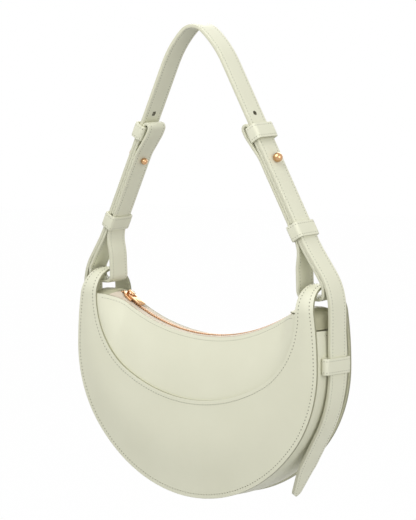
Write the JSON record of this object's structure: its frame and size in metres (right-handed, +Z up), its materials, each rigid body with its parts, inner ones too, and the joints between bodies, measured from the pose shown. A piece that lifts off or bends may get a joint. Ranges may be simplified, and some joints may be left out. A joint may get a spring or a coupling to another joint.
{
  "type": "half moon bag",
  "caption": "Crescent-shaped leather shoulder bag with a curved zip, hung by its arched horns from folded link straps on an adjustable shoulder strap with ball studs.",
  "frame": {"origin": "underside of the shoulder strap at the top of its crown, where it rests on a shoulder or hook", "axes": "+X to the right of a viewer who faces the front panel, -Y out of the front panel, +Z up"},
  "size_m": [0.2852, 0.045, 0.3977],
  "materials": {
    "leather": "smooth matt grain, pale sage",
    "lining": "plain woven, sand",
    "stiffener": "matt board",
    "zip_tape": "woven, pale pinkish beige",
    "zip_metal": "satin copper",
    "rose_metal": "polished rose gold"
  },
  "bodies": {
    "strap": {"shoulder_strap": "leather", "left_link_strap": "leather", "right_link_strap": "leather", "left_upper_keeper": "leather", "right_upper_keeper": "leather", "left_stud_post": "rose_metal", "right_stud_post": "rose_metal", "left_stud_cap": "rose_metal", "right_stud_cap": "rose_metal"},
    "bag": {"front_crescent_panel": "leather", "back_crescent_panel": "leather", "front_yoke_panel": "leather", "back_yoke_panel": "leather", "gusset": "leather", "left_gusset_keeper": "leather", "right_gusset_keeper": "leather", "left_strap_tail": "leather", "right_strap_tail": "leather", "zip_front_tape": "zip_tape", "zip_back_tape": "zip_tape", "zip_front_teeth": "zip_metal", "zip_back_teeth": "zip_metal", "zip_top_stops": "zip_metal", "zip_bottom_stop": "zip_metal", "front_lining": "lining", "back_lining": "lining", "gusset_lining": "lining", "base_stiffener": "stiffener", "slip_pocket": "lining"},
    "left_lower_keeper": {"left_lower_keeper": "leather"},
    "right_lower_keeper": {"right_lower_keeper": "leather"},
    "zip_slider": {"zip_slider": "rose_metal"},
    "zip_pull": {"zip_pull": "rose_metal"}
  },
  "joints": [
    {"name": "bag_swing", "type": "hinge", "parent": "strap", "child": "bag", "pos_m": [0, 0.01206, -0.23018], "axis": [1, 0, 0], "range_deg": [-30, 30]},
    {"name": "left_keeper_slide", "type": "slide", "parent": "strap", "child": "left_lower_keeper", "axis": [0.4802, -0.0459, 0.8759], "range_m": [0, 0.03]},
    {"name": "right_keeper_slide", "type": "slide", "parent": "strap", "child": "right_lower_keeper", "axis": [-0.4802, -0.0459, 0.8759], "range_m": [0, 0.03]},
    {"name": "zip_travel", "type": "hinge", "parent": "bag", "child": "zip_slider", "pos_m": [0, 0.01206, -0.06848], "axis": [0, -1, 0], "range_deg": [0, 58], "deforming": ["zip_front_teeth", "zip_back_teeth"]},
    {"name": "pull_lift", "type": "hinge", "parent": "zip_slider", "child": "zip_pull", "pos_m": [-0.09234, 0.01206, -0.22977], "axis": [0, -1, 0], "range_deg": [0, 150]}
  ]
}
